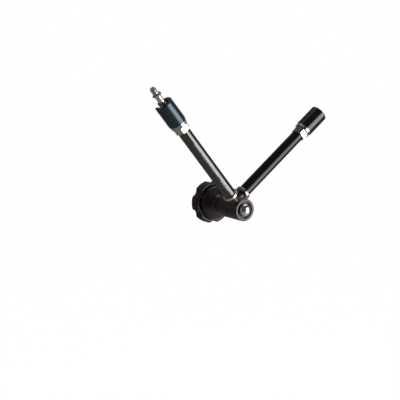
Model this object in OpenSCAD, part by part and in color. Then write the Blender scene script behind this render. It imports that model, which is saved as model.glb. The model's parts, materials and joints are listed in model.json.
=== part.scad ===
// Two-arm friction arm with a ball joint at each end and one locking knob at the elbow.
// The origin is the shoulder of the clamp stud, and the stud points away along stud_dir.

/* [Pose] */
// Lean of the lower arm (the one on the clamp side) from the vertical, in degrees
lower_lean = 52.5; // [40:0.5:65]
// Lean of the upper arm (the one that carries the load) from the vertical, in degrees
upper_lean = 39.5; // [25:0.5:60]
// Turn of the upper head's slot about its arm, in degrees
mic_slot_turn = 31; // [0:1:180]

/* [Arms] */
// Distance from the elbow axis to each ball's centre
ball_reach = 219; // [180:1:320]
// Half the gap by which the two arms' heads pass each other when folded
pass_gap = 0.5; // [0.4:0.1:3]
// Outer diameter of the arm tubes
tube_d = 20; // [17:0.5:24]
// Wall of the arm tubes
tube_wall = 2; // [1.5:0.1:2.5]
// Distance from the elbow axis to the tube's inner end
tube_start = 35; // [34:1:45]
// Diameter of the bright ring at each tube's inner end
neck_ring_d = 25; // [22:0.5:28]
// Length of that ring along the arm
neck_ring_len = 5; // [3:0.5:7]
// Diameter of the neck between knuckle and tube
neck_d = 14; // [13:0.5:16]
// Length of the plugs that hold each end of a tube
plug_len = 20; // [12:1:25]

/* [Heads] */
// Outer diameter of the ball-joint heads
head_d = 29.4; // [28.8:0.2:36]
// Length of the sleeve that screws into a head behind the ball
sleeve_len = 13.4; // [10:0.2:18]
// Distance from the ball's centre to the head's mouth
mouth_reach = 12; // [11:0.5:13]
// Gap around the shank in the mouth that keeps the ball in
mouth_gap = 3.5; // [3.2:0.1:4]
// Diameter of the balls
ball_d = 20; // [19:0.5:24]
// Gap on each side of the shank in the slot that lets it swing down to a right angle
slot_gap = 0.75; // [0.5:0.05:1.5]
// Width across the flats of the hexagon collar
hex_flats = 22.5; // [21:0.5:27]
// Length of the hexagon collar
hex_len = 11; // [8:0.5:14]
// Length of the round gland ring between collar and head
gland_len = 5.6; // [4:0.2:8]
// Diameter of the gland ring
gland_d = 27.4; // [26:0.2:29]
// Diameter of the journal that a head swivels on
journal_d = 18.6; // [17.5:0.2:19]

/* [Studs] */
// Diameter of the studs' shank
shank_d = 10; // [9:0.25:12]
// Gap between a head's rim and the spigot's shoulder as it swings past
shoulder_gap = 0.5; // [0.4:0.1:6]
// Diameter of the clamp stud's spigot, five eighths of an inch
spigot_d = 15.875; // [15.5:0.125:17]
// Length of the spigot
spigot_len = 30; // [25:1:40]
// Distance from the mic ball's centre to the end of its shank
mic_shank_reach = 28; // [24:1:36]
// Width across the flats of the mic stud's collar
mic_collar_flats = 13; // [12:0.5:16]
// Thickness of that collar
mic_collar_len = 3; // [2:0.5:5]
// Diameter of the mic stud's thread, three eighths of an inch
thread_d = 9.525; // [8:0.125:12]
// Length of the thread
thread_len = 12; // [9:0.5:16]

/* [Elbow] */
// Diameter of the elbow's two knuckles
knuckle_d = 36.4; // [35:0.2:44]
// Thickness of the wall in each knuckle that carries the axle
web_t = 5.2; // [3:0.2:8]
// Thickness of the friction disc between the knuckles
disc_t = 1.6; // [1:0.2:2.4]
// Diameter of the axle bolt
axle_d = 10; // [9:0.5:12]
// Diameter of the axle's threaded end
axle_thread_d = 8; // [7:0.5:8]
// Radius of each spreader cone where its rod meets it
cone_r = 6.5; // [6.2:0.1:7]
// Radius that a spreader cone gains over each millimetre of its length
cone_slope = 0.3333; // [0.25:0.01:0.36]
// Diameter of the domed nut
dome_d = 21; // [17:0.5:22]
// Height of the nut's dome
dome_h = 7.5; // [5:0.5:9]
// Diameter of the push rods
rod_d = 8; // [7:0.25:9.75]

/* [Knob] */
// Thickness of the brass thrust washer
washer_t = 1.4; // [1:0.1:2]
// Diameter of the thrust washer
washer_d = 29; // [27:0.5:32]
// Diameter of the knob's hub at the washer
hub_d = 25; // [22:0.5:28]
// Length of the hub from the washer to the boss
hub_len = 24; // [20:1:32]
// Overall diameter of the lobed grip
grip_d = 70; // [58:1:86]
// Thickness of the grip over the knob's boss
grip_t = 7.5; // [6:0.5:10]
// Width of the lobed grip
grip_w = 17; // [14:0.5:22]
// Number of lobes
lobes = 6; // [5:1:8]

/* [Fits] */
// Radial clearance of a running fit
run_fit = 0.05; // [0.02:0.01:0.1]
// Gap between curved faces that move past each other
free_gap = 0.35; // [0.3:0.05:0.4]

/* [Hidden] */
$fn = 96;

// Directions and places
stud_dir = [0.6, 0.8, 0];
clamp_tilt = acos(stud_dir[0] * sin(lower_lean));
clamp_slot_turn = -atan2(stud_dir[0] * cos(lower_lean), stud_dir[1]);
lower_dir = [sin(lower_lean), 0, cos(lower_lean)];
shoulder_reach = norm([head_d / 2, mouth_reach]) + shoulder_gap;
arm_offset = max(head_d, gland_d, neck_ring_d, 2 * hex_flats / sqrt(3)) / 2 + pass_gap;
elbow = -shoulder_reach * stud_dir - ball_reach * lower_dir - [0, arm_offset, 0];

// Along an arm, from the elbow axis
cup_r = ball_d / 2 + free_gap;
sleeve_r = cup_r + 1.65;
seat_floor = 1.5;
seat_start = ball_reach - cup_r - seat_floor;
seat_end = ball_reach - ball_d / 4;
seat_gap = 0.8;
clip_t = 1.2;
clip_gap = 0.1;
journal_lip = 0.7;
journal_end = seat_start - seat_gap;
clip_end = journal_end - journal_lip;
clip_start = clip_end - clip_t;
clip_groove = 0.6;
sleeve_end = clip_start - clip_gap;
head_start = sleeve_end - sleeve_len;
head_end = ball_reach + mouth_reach;
gland_start = head_start - gland_len;
face_gap = 0.2;
hex_start = gland_start - face_gap - hex_len;
tube_end = hex_start;
tube_bore = tube_d - 2 * tube_wall;
mouth_r = shank_d / 2 + mouth_gap;
mouth_flare = 1.4;
slot_w = shank_d + 2 * slot_gap;
rod_bore_r = rod_d / 2 + 0.6;
rod_tip_r = 1.2;
rod_start = cone_r + rod_tip_r * cone_slope + free_gap;
edge = 0.6;
spigot_chamfer = 1;
thread_chamfer = 0.8;

// In a stud, from its ball's centre
pivot_r = 3;
pivot_end = -0.66 * ball_d / 2;
rivet_r = 4.2;
rivet_t = 1.8;
rivet_end = pivot_end - rivet_t;
rivet_step = 0.8;
ball_neck_end = ball_d / 2 + 1.6;
shank_start = ball_neck_end + clip_gap;

// Along the elbow axis, from the middle plane
disc_half = disc_t / 2;
cone_big_r = cone_r + 1.5;
cone_big_dist = (cone_big_r - cone_r) / cone_slope;
far_cone_small_r = axle_thread_d / 2 + 1;
far_cone_small_dist = (cone_r - far_cone_small_r) / cone_slope;
chamber_r = cone_big_r + 1.1;
chamber_end_gap = 1.1;
disc_bore_r = chamber_r + 0.4;
knuckle_out = arm_offset + far_cone_small_dist + chamber_end_gap + web_t;
recess_r = dome_d / 2 + 3.1;
recess_depth = 4.5;
spring_t = 1;
spring_dish = 0.4;
flange_t = 2.5;
nut_hold = 3;
recess_floor = -knuckle_out + recess_depth;
spring_start = recess_floor - 2 * spring_t;
flange_start = spring_start - flange_t;
near_cone_small = -arm_offset + (cone_r - axle_d / 2) / cone_slope;
far_cone_big = arm_offset - cone_big_dist;
far_cone_small = arm_offset + far_cone_small_dist;
washer_end = knuckle_out + washer_t;
boss_start = washer_end + hub_len;
boss_len = 8;
grip_start = boss_start + boss_len;
grip_end = grip_start + grip_w;
boss_d = grip_d - 2 * grip_t;
cap_t = 2.4;
insert_r = 7;
insert_end = grip_start + 4;
axle_end = insert_end + 2;
stop_screw_r = 2.5;
stop_screw_len = 12;
stop_r = 6.2;
stop_t = 1.6;
well_r = 10;

// Places a child in an arm's frame: +Z along the arm, the elbow axis at z = 0
module in_lower_arm() {
    translate(elbow) rotate([0, lower_lean, 0]) translate([0, arm_offset, 0]) children();
}

module in_upper_arm() {
    translate(elbow) rotate([0, -upper_lean, 0]) translate([0, -arm_offset, 0]) children();
}

// Places a child in a head's frame, with the slot towards +Y
module in_clamp_head() {
    in_lower_arm() rotate([0, 0, clamp_slot_turn]) children();
}

module in_mic_head() {
    in_upper_arm() rotate([0, 0, mic_slot_turn]) children();
}

// Places a child in a stud's frame: +Z along the stud, the ball's centre at the origin
module in_clamp_stud() {
    in_clamp_head() translate([0, 0, ball_reach]) rotate([-clamp_tilt, 0, 0]) children();
}

module in_mic_stud() {
    in_mic_head() translate([0, 0, ball_reach]) children();
}

// Places a child about the elbow axis, turned so that +Z becomes +Y
module on_elbow_axis() {
    translate(elbow) rotate([-90, 0, 0]) children();
}

// A turned piece from a list of [radius, height] points
module turned(outline) {
    rotate_extrude() polygon(outline);
}

// A plain turned rod with a chamfer at each end
module rod(r, start, end, c = edge) {
    turned([[0, start], [r - c, start], [r, start + c], [r, end - c], [r - c, end], [0, end]]);
}

// A plain turned ring with chamfered outer edges
module ring(r, bore_r, start, end, c = edge) {
    turned([
        [bore_r, start], [r - c, start], [r, start + c],
        [r, end - c], [r - c, end], [bore_r, end]
    ]);
}

// A hexagon whose corners are turned off at both ends
module hexagon(flats, start, end) {
    corner_r = flats / sqrt(3);
    shave = corner_r - flats / 2;
    intersection() {
        translate([0, 0, start]) cylinder(h = end - start, r = corner_r, $fn = 6);
        turned([
            [0, start], [flats / 2, start], [corner_r, start + shave],
            [corner_r, end - shave], [flats / 2, end], [0, end]
        ]);
    }
}

// Tube, and the parts that fill it and close its ends
module tube() {
    ring(tube_d / 2, tube_bore / 2, tube_start, tube_end, 0.3);
}

module neck_ring() {
    ring(neck_ring_d / 2, neck_d / 2, tube_start - neck_ring_len, tube_start, 1);
}

module guide_bushes() {
    bush_len = 8;
    for (place = [0.3, 0.7]) {
        start = tube_start + plug_len + place * (tube_end - tube_start - 2 * plug_len) - bush_len / 2;
        ring(tube_bore / 2, rod_d / 2 + run_fit, start, start + bush_len, 0.5);
    }
}

module push_rod() {
    r = rod_d / 2;
    turned([[0, rod_start], [rod_tip_r, rod_start], [r, rod_start + 5], [r, seat_start], [0, seat_start]]);
}

module ball_seat() {
    difference() {
        rod(cup_r - free_gap, seat_start, seat_end, 0.4);
        translate([0, 0, ball_reach]) sphere(r = cup_r);
    }
}

module hex_collar() {
    difference() {
        union() {
            rod(tube_bore / 2, tube_end - plug_len, hex_start + 1, 0.5);
            hexagon(hex_flats, hex_start, hex_start + hex_len);
            rod(journal_d / 2, hex_start + hex_len - 1, journal_end, 0.4);
        }
        translate([0, 0, tube_end - plug_len - 1])
            cylinder(h = journal_end - tube_end + plug_len + 2, r = rod_bore_r);
        translate([0, 0, clip_start]) difference() {
            cylinder(h = clip_t, r = journal_d);
            translate([0, 0, -1]) cylinder(h = clip_t + 2, r = journal_d / 2 - clip_groove);
        }
    }
}

module collar_clip() {
    difference() {
        ring(cup_r - free_gap, journal_d / 2 - clip_groove, clip_start, clip_end, 0.2);
        translate([0, journal_d / 2, (clip_start + clip_end) / 2]) cube([4, journal_d, 2 * clip_t], center = true);
    }
}

// Heads
module gland_ring() {
    difference() {
        union() {
            rod(gland_d / 2, gland_start, head_start, 0.8);
            rod(sleeve_r, head_start - 1, sleeve_end, 0.4);
        }
        translate([0, 0, gland_start - 1])
            cylinder(h = sleeve_end - gland_start + 2, r = journal_d / 2 + run_fit);
    }
}

module head_cup() {
    r = head_d / 2;
    difference() {
        turned([
            [0, head_start], [r - 1.2, head_start], [r, head_start + 1.2],
            [r, head_end - 0.8], [r - 0.8, head_end], [0, head_end]
        ]);
        translate([0, 0, head_start - 1]) cylinder(h = sleeve_end - head_start + 1, r = sleeve_r);
        translate([0, 0, sleeve_end - 1]) cylinder(h = ball_reach - sleeve_end + 1, r = cup_r);
        translate([0, 0, ball_reach]) sphere(r = cup_r);
        translate([0, 0, ball_reach]) cylinder(h = mouth_reach + 1, r = mouth_r);
        translate([0, 0, head_end - mouth_flare])
            cylinder(h = 2 * mouth_flare, r1 = mouth_r, r2 = mouth_r + 2 * mouth_flare);
        translate([0, 0, ball_reach]) rotate([-90, 0, 0]) cylinder(h = head_d, r = slot_w / 2);
        translate([-slot_w / 2, 0, ball_reach]) cube([slot_w, head_d, mouth_reach + 1]);
    }
}

module joint_ball() {
    difference() {
        union() {
            sphere(d = ball_d);
            rod(shank_d / 2, 0, ball_neck_end, 0.4);
        }
        translate([0, 0, -ball_d]) cylinder(h = 2 * ball_d, r = pivot_r + run_fit);
        translate([0, 0, -ball_d]) cylinder(h = ball_d + pivot_end + 0.1, r = rivet_r + free_gap);
    }
}

module stud_clip() {
    ring(rivet_r, pivot_r - rivet_step, rivet_end, pivot_end, 0.3);
}

module stud_pivot() {
    rod(pivot_r - rivet_step, rivet_end, pivot_end + 1, 0.3);
    rod(pivot_r, pivot_end, shank_start + 1, 0);
}

// Elbow
module knuckle_neck() {
    rod(neck_d / 2, knuckle_d / 4, tube_start + 1, 0);
    rod(tube_bore / 2, tube_start, tube_start + plug_len, 0.5);
}

module rod_channel() {
    cylinder(h = tube_start + plug_len + 1, r = rod_bore_r);
}

// The drum of a knuckle between two places on the elbow axis, from its flat inner face outwards
module drum(length) {
    r = knuckle_d / 2;
    turned([
        [0, 0], [r - edge, 0], [r, edge], [r, length - 2.2],
        [r - 0.6, length - 0.8], [r - 1.6, length], [0, length]
    ]);
}

module lobed_outline(r, notch_r, notch_depth) {
    difference() {
        circle(r = r);
        for (i = [0:lobes - 1])
            rotate(i * 360 / lobes + 180 / lobes) translate([r + notch_r - notch_depth, 0]) circle(r = notch_r);
    }
}

// Clamp end
module clamp_stud() {
    r = spigot_d / 2;
    tip = shoulder_reach + spigot_len;
    color("silver") in_clamp_stud() {
        stud_pivot();
        rod(shank_d / 2, shank_start, shoulder_reach + 1, 0.4);
        turned([
            [0, shoulder_reach], [r, shoulder_reach], [r, tip - spigot_chamfer],
            [r - spigot_chamfer, tip], [0, tip]
        ]);
    }
}

module clamp_stud_clip() {
    color("dimgray") in_clamp_stud() stud_clip();
}

module clamp_ball() {
    color("gainsboro") in_clamp_stud() joint_ball();
}

module clamp_head_cup() {
    color([0.08, 0.08, 0.09]) in_clamp_head() head_cup();
}

module clamp_gland_ring() {
    color("whitesmoke") in_clamp_head() gland_ring();
}

module clamp_ball_seat() {
    color("peru") in_lower_arm() ball_seat();
}

// Lower arm
module lower_hex_collar() {
    color("whitesmoke") in_lower_arm() hex_collar();
}

module lower_collar_clip() {
    color("dimgray") in_lower_arm() collar_clip();
}

module lower_tube() {
    color([0.07, 0.07, 0.08]) in_lower_arm() tube();
}

module lower_guide_bushes() {
    color("ivory") in_lower_arm() guide_bushes();
}

module lower_push_rod() {
    color("slategray") in_lower_arm() push_rod();
}

module lower_neck_ring() {
    color("whitesmoke") in_lower_arm() neck_ring();
}

module lower_knuckle() {
    length = knuckle_out - disc_half;
    color([0.1, 0.1, 0.11]) difference() {
        union() {
            on_elbow_axis() translate([0, 0, disc_half]) drum(length);
            in_lower_arm() knuckle_neck();
        }
        on_elbow_axis() {
            cylinder(h = knuckle_out - web_t, r = chamber_r);
            cylinder(h = knuckle_out + 1, r = axle_thread_d / 2 + run_fit);
        }
        in_lower_arm() rod_channel();
    }
}

module friction_disc() {
    color("saddlebrown") on_elbow_axis()
        ring(knuckle_d / 2 - 1, disc_bore_r, -disc_half, disc_half, 0.2);
}

module thrust_washer() {
    color("goldenrod") on_elbow_axis()
        ring(washer_d / 2, axle_thread_d / 2 + free_gap, knuckle_out, washer_end, 0.2);
}

// Axle
module axle_bolt() {
    thread_r = axle_thread_d / 2;
    near_end = flange_start - nut_hold;
    near_cone_big = -arm_offset - cone_big_dist;
    color("gray") on_elbow_axis() difference() {
        turned([
            [0, near_end], [thread_r, near_end], [thread_r, spring_start],
            [axle_d / 2, spring_start], [axle_d / 2, near_cone_big],
            [cone_big_r, near_cone_big], [axle_d / 2, near_cone_small],
            [axle_d / 2, far_cone_big], [thread_r, far_cone_big],
            [thread_r, axle_end], [0, axle_end]
        ]);
        translate([0, 0, axle_end - stop_screw_len]) cylinder(h = stop_screw_len + 1, r = stop_screw_r);
    }
}

module spreader_cone() {
    color("silver") on_elbow_axis() turned([
        [axle_thread_d / 2, far_cone_big], [cone_big_r, far_cone_big],
        [far_cone_small_r, far_cone_small], [axle_thread_d / 2, far_cone_small]
    ]);
}

module disc_springs() {
    outer_r = recess_r - 1;
    inner_r = axle_d / 2 + 0.1;
    color("darkgray") on_elbow_axis() for (i = [0:1]) {
        top = recess_floor - i * spring_t;
        turned([
            [inner_r, top - spring_dish], [outer_r, top],
            [outer_r, top - spring_t + spring_dish], [inner_r, top - spring_t]
        ]);
    }
}

module dome_nut() {
    r = dome_d / 2;
    steps = 12;
    crown = [for (i = [0:steps]) [r * cos(90 * i / steps), flange_start - dome_h * sin(90 * i / steps)]];
    color("gainsboro") on_elbow_axis() difference() {
        turned(concat([[0, spring_start], [r - edge, spring_start], [r, spring_start - edge]], crown));
        translate([0, 0, flange_start - nut_hold])
            cylinder(h = flange_t + nut_hold + 1, r = axle_thread_d / 2);
    }
}

module axle_stop() {
    color("dimgray") on_elbow_axis() {
        rod(stop_screw_r, axle_end - stop_screw_len, axle_end + 0.5, 0);
        rod(stop_r, axle_end, axle_end + stop_t, 0.3);
    }
}

// Knob
module knob_insert() {
    color("goldenrod") on_elbow_axis()
        ring(insert_r, axle_thread_d / 2 + run_fit, washer_end, insert_end, 0.5);
}

module knob_body() {
    hub_r = hub_d / 2;
    boss_r = boss_d / 2;
    color([0.12, 0.07, 0.07]) on_elbow_axis() difference() {
        turned([
            [0, washer_end], [hub_r - 1, washer_end], [hub_r, washer_end + 1],
            [hub_r, boss_start - 8], [hub_r + 2, boss_start - 4.5], [hub_r + 7, boss_start - 2],
            [boss_r - 3, boss_start + 1], [boss_r - 0.8, boss_start + 2.4], [boss_r, boss_start + 4],
            [boss_r, grip_end - cap_t], [0, grip_end - cap_t]
        ]);
        cylinder(h = insert_end, r = insert_r);
        translate([0, 0, insert_end]) cylinder(h = grip_w, r = well_r);
    }
}

module knob_grip() {
    r = grip_d / 2;
    bevel = 2.5;
    color([0.05, 0.05, 0.05]) on_elbow_axis() difference() {
        intersection() {
            translate([0, 0, grip_start]) linear_extrude(grip_w) lobed_outline(r, 9, 4);
            turned([
                [0, grip_start], [r - bevel, grip_start], [r, grip_start + bevel],
                [r, grip_end - bevel], [r - bevel, grip_end], [0, grip_end]
            ]);
        }
        translate([0, 0, grip_start - 1]) cylinder(h = grip_w + 2, r = boss_d / 2);
    }
}

module knob_cap() {
    color([0.16, 0.16, 0.17]) on_elbow_axis()
        rod(boss_d / 2, grip_end - cap_t, grip_end, 0.5);
}

// Upper arm
module upper_knuckle() {
    length = knuckle_out - disc_half;
    color([0.1, 0.1, 0.11]) difference() {
        union() {
            on_elbow_axis() mirror([0, 0, 1]) translate([0, 0, disc_half]) drum(length);
            in_upper_arm() knuckle_neck();
        }
        on_elbow_axis() mirror([0, 0, 1]) {
            translate([0, 0, disc_half + web_t]) cylinder(h = knuckle_out, r = chamber_r);
            translate([0, 0, knuckle_out - recess_depth]) cylinder(h = knuckle_out, r = recess_r);
            cylinder(h = knuckle_out, r = axle_d / 2 + run_fit);
        }
        in_upper_arm() rod_channel();
    }
}

module upper_neck_ring() {
    color("whitesmoke") in_upper_arm() neck_ring();
}

module upper_tube() {
    color([0.07, 0.07, 0.08]) in_upper_arm() tube();
}

module upper_guide_bushes() {
    color("ivory") in_upper_arm() guide_bushes();
}

module upper_push_rod() {
    color("slategray") in_upper_arm() push_rod();
}

module upper_hex_collar() {
    color("whitesmoke") in_upper_arm() hex_collar();
}

module upper_collar_clip() {
    color("dimgray") in_upper_arm() collar_clip();
}

// Mic end
module mic_ball_seat() {
    color("peru") in_upper_arm() ball_seat();
}

module mic_head_cup() {
    color([0.12, 0.17, 0.2]) in_mic_head() head_cup();
}

module mic_gland_ring() {
    color("whitesmoke") in_mic_head() gland_ring();
}

module mic_ball() {
    color("gainsboro") in_mic_stud() joint_ball();
}

module mic_stud() {
    collar_end = mic_shank_reach + mic_collar_len;
    color("silver") in_mic_stud() {
        stud_pivot();
        rod(shank_d / 2, shank_start, mic_shank_reach + 1, 0.4);
        hexagon(mic_collar_flats, mic_shank_reach, collar_end);
        rod(thread_d / 2, collar_end - 1, collar_end + thread_len, thread_chamfer);
    }
}

module mic_stud_clip() {
    color("dimgray") in_mic_stud() stud_clip();
}

clamp_stud();
clamp_stud_clip();
clamp_ball();
clamp_head_cup();
clamp_gland_ring();
clamp_ball_seat();
lower_hex_collar();
lower_collar_clip();
lower_tube();
lower_guide_bushes();
lower_push_rod();
lower_neck_ring();
lower_knuckle();
friction_disc();
thrust_washer();
axle_bolt();
spreader_cone();
disc_springs();
dome_nut();
axle_stop();
knob_insert();
knob_body();
knob_grip();
knob_cap();
upper_knuckle();
upper_neck_ring();
upper_tube();
upper_guide_bushes();
upper_push_rod();
upper_hex_collar();
upper_collar_clip();
mic_ball_seat();
mic_head_cup();
mic_gland_ring();
mic_ball();
mic_stud();
mic_stud_clip();
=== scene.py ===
"""A two-arm friction arm: slotted ball joints at both ends, one locking knob at the elbow."""

import json
import math

import bmesh
import bpy
from mathutils import Matrix, Vector


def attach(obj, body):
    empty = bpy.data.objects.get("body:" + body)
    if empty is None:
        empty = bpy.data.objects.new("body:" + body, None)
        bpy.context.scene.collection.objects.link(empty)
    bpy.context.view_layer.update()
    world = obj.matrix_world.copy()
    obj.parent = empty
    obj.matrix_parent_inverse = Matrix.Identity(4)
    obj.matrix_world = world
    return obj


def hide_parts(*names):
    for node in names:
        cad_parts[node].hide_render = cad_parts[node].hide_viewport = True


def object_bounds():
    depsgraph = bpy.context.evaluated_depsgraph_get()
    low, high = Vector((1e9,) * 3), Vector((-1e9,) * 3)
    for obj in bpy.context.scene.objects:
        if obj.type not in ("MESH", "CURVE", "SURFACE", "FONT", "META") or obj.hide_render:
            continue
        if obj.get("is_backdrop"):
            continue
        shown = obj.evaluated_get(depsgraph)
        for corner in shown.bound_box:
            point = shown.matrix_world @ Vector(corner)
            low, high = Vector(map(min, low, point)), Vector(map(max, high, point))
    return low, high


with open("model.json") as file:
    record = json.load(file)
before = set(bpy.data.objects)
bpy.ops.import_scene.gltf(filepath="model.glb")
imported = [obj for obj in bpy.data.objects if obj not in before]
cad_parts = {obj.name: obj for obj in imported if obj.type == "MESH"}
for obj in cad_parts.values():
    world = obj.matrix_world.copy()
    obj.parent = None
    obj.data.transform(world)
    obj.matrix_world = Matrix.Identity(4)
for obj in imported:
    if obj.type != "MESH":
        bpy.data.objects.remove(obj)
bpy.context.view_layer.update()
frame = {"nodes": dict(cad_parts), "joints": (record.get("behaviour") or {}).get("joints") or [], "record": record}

# ---------------------------------------------------------------------------------------------
# Camera, floor and lights. A long lens looks at the domed side of the elbow from a little above,
# with the V of the two arms opening upwards. The pale floor lies far below, and the light comes
# from one large soft box on the right, with weaker ones on the left and overhead.
# ---------------------------------------------------------------------------------------------
joints = {joint["name"]: joint for joint in frame["joints"]}
elbow_point = Vector(joints["elbow"]["pos_m"])

CAMERA_TURN = math.radians(-34.2)
CAMERA_RISE = math.radians(10.2)
CAMERA_DISTANCE = 2.0
CAMERA_SCALE = 620.0
FRAME_WIDTH = 400
ELBOW_RIGHT = 0.0571
ELBOW_UP = -0.0125
SENSOR = 36.0

camera_back = Vector((
    math.sin(CAMERA_TURN) * math.cos(CAMERA_RISE),
    -math.cos(CAMERA_TURN) * math.cos(CAMERA_RISE),
    math.sin(CAMERA_RISE),
))
camera_right = Vector((math.cos(CAMERA_TURN), math.sin(CAMERA_TURN), 0.0))
camera_up = camera_back.cross(camera_right)

camera_data = bpy.data.cameras.new("camera")
camera_data.sensor_width = SENSOR
camera_data.lens = SENSOR * CAMERA_SCALE * CAMERA_DISTANCE / FRAME_WIDTH
camera_data.clip_end = 50.0
camera = bpy.data.objects.new("camera", camera_data)
camera_turned = Matrix((camera_right, camera_up, camera_back)).transposed().to_4x4()
camera_place = (
    elbow_point
    + camera_back * CAMERA_DISTANCE
    - camera_right * ELBOW_RIGHT
    - camera_up * ELBOW_UP
)
camera.matrix_world = Matrix.Translation(camera_place) @ camera_turned
bpy.context.scene.collection.objects.link(camera)
bpy.context.scene.camera = camera


class Wire:
    """A node socket with arithmetic, so that shader maths reads as an expression."""

    def __init__(self, tree, socket):
        self.tree = tree
        self.socket = socket

    def _math(self, operation, *values):
        return node(self.tree, "ShaderNodeMath", {"operation": operation}, values)

    def __add__(self, other):
        return self._math("ADD", self, other)

    def __radd__(self, other):
        return self._math("ADD", other, self)

    def __sub__(self, other):
        return self._math("SUBTRACT", self, other)

    def __rsub__(self, other):
        return self._math("SUBTRACT", other, self)

    def __mul__(self, other):
        return self._math("MULTIPLY", self, other)

    def __rmul__(self, other):
        return self._math("MULTIPLY", other, self)


def node(tree, kind, settings=None, values=(), output=0):
    """Adds a node: its settings first, then its sockets from a list, or from a dict by name."""
    made = tree.nodes.new(kind)
    for key, value in (settings or {}).items():
        if key == "stops":
            ramp = made.color_ramp
            while len(ramp.elements) < len(value):
                ramp.elements.new(0.5)
            for element, (place, grey) in zip(ramp.elements, value):
                element.position = place
                element.color = (grey, grey, grey, 1.0)
        else:
            setattr(made, key, value)
    pairs = values.items() if isinstance(values, dict) else enumerate(values)
    for key, value in pairs:
        if isinstance(value, Wire):
            tree.links.new(value.socket, made.inputs[key])
        else:
            made.inputs[key].default_value = value
    return Wire(tree, made.outputs[output])


def new_material(name):
    material = bpy.data.materials.new(name)
    material.use_nodes = True
    material.node_tree.nodes.clear()
    return material, material.node_tree


def show(tree, shader, kind="ShaderNodeOutputMaterial"):
    out = tree.nodes.new(kind)
    tree.links.new(shader.socket, out.inputs["Surface"])


FLOOR_DROP = 0.9
FLOOR_HALF = 12.0
FLOOR_WHITE = 1.06
FLOOR_SHARE = 0.94
FLOOR_GLOSS = 0.04
GLOSS_SHARE = 0.15
DIM_FRONT = 0.07
DIM_BEHIND = 0.10
floor_mesh = bpy.data.meshes.new("floor")
floor_height = elbow_point.z - FLOOR_DROP
corners = [(-1, -1), (1, -1), (1, 1), (-1, 1)]
floor_points = [(FLOOR_HALF * x, FLOOR_HALF * y, floor_height) for x, y in corners]
floor_mesh.from_pydata(floor_points, [], [(0, 1, 2, 3)])
floor = bpy.data.objects.new("floor", floor_mesh)
bpy.context.scene.collection.objects.link(floor)
floor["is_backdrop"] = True
floor_paint, tree = new_material("floor_paint")


def ray_kinds(tree):
    """Whether a ray comes straight from the camera, off a gloss or through glass."""
    rays = tree.nodes.new("ShaderNodeLightPath")
    kinds = ("Camera", "Glossy", "Transmission")
    return [Wire(tree, rays.outputs["Is " + kind + " Ray"]) for kind in kinds]


straight, glossy, through = ray_kinds(tree)
lit = node(tree, "ShaderNodeBsdfDiffuse", {}, {"Color": (0.58, 0.57, 0.56, 1.0)})
plain = node(tree, "ShaderNodeEmission", {}, {"Color": (1.0, 1.0, 1.0, 1.0), "Strength": FLOOR_WHITE})
seen = FLOOR_SHARE * (straight + through) + FLOOR_GLOSS * glossy
show(tree, node(tree, "ShaderNodeMixShader", {}, [seen, lit, plain]))
floor_mesh.materials.append(floor_paint)

world = bpy.data.worlds.new("studio")
world.use_nodes = True
world.node_tree.nodes.clear()
tree = world.node_tree
straight, glossy, through = ray_kinds(tree)
direction = node(tree, "ShaderNodeTexCoord", {}, (), "Generated")
facing = node(tree, "ShaderNodeVectorMath", {"operation": "DOT_PRODUCT"}, [direction, -camera_back], "Value")
behind = node(tree, "ShaderNodeValToRGB", {"stops": [(0.55, 0.0), (1.0, 1.0)]}, [0.5 * facing + 0.5])
dim = node(tree, "ShaderNodeBackground", {}, {
    "Color": (0.95, 0.95, 1.0, 1.0), "Strength": DIM_FRONT + DIM_BEHIND * behind,
})
white = node(tree, "ShaderNodeBackground", {}, {"Color": (1.0, 1.0, 1.0, 1.0), "Strength": 1.0})
seen = straight + through + GLOSS_SHARE * glossy * behind
show(tree, node(tree, "ShaderNodeMixShader", {}, [seen, dim, white]), "ShaderNodeOutputWorld")
bpy.context.scene.world = world
bpy.context.scene.view_settings.view_transform = "Standard"


AIM_ABOVE_ELBOW = 0.08


def soft_box(name, right, up, back, width, height, power, tint=(1.0, 1.0, 1.0)):
    """An area lamp placed in the camera's own directions from the elbow, and aimed at the arms."""
    target = elbow_point + Vector((0.0, 0.0, AIM_ABOVE_ELBOW))
    place = target + camera_right * right + camera_up * up + camera_back * back
    lamp = bpy.data.lights.new(name, "AREA")
    lamp.shape = "RECTANGLE"
    lamp.size = width
    lamp.size_y = height
    lamp.energy = power
    lamp.color = tint
    holder = bpy.data.objects.new(name, lamp)
    aim = (target - place).to_track_quat("-Z", "Y")
    holder.matrix_world = Matrix.Translation(place) @ aim.to_matrix().to_4x4()
    bpy.context.scene.collection.objects.link(holder)


soft_box("box_right", 1.68, -0.34, 0.58, 1.2, 1.9, 34.0)
soft_box("box_left", -1.7, 0.4, 0.6, 2.0, 2.0, 3.0, (1.0, 0.76, 0.62))
soft_box("box_top", 0.4, 1.7, -0.2, 1.6, 1.4, 8.0)

# ---------------------------------------------------------------------------------------------
# Places. Each arm has its own axes, +Z along the arm from the elbow axis and +Y along the elbow
# axis. A head's +Y points out of its slot, and a stud's +Z runs from its ball to its tip. They
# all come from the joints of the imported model.
# ---------------------------------------------------------------------------------------------


def axes_at(origin, z_axis, x_hint):
    """A place with the given +Z, and +X as near x_hint as it can be."""
    z_axis = Vector(z_axis).normalized()
    x_axis = Vector(x_hint)
    x_axis = (x_axis - z_axis * x_axis.dot(z_axis)).normalized()
    y_axis = z_axis.cross(x_axis)
    turned_axes = Matrix((x_axis, y_axis, z_axis)).transposed().to_4x4()
    return Matrix.Translation(origin) @ turned_axes


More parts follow.
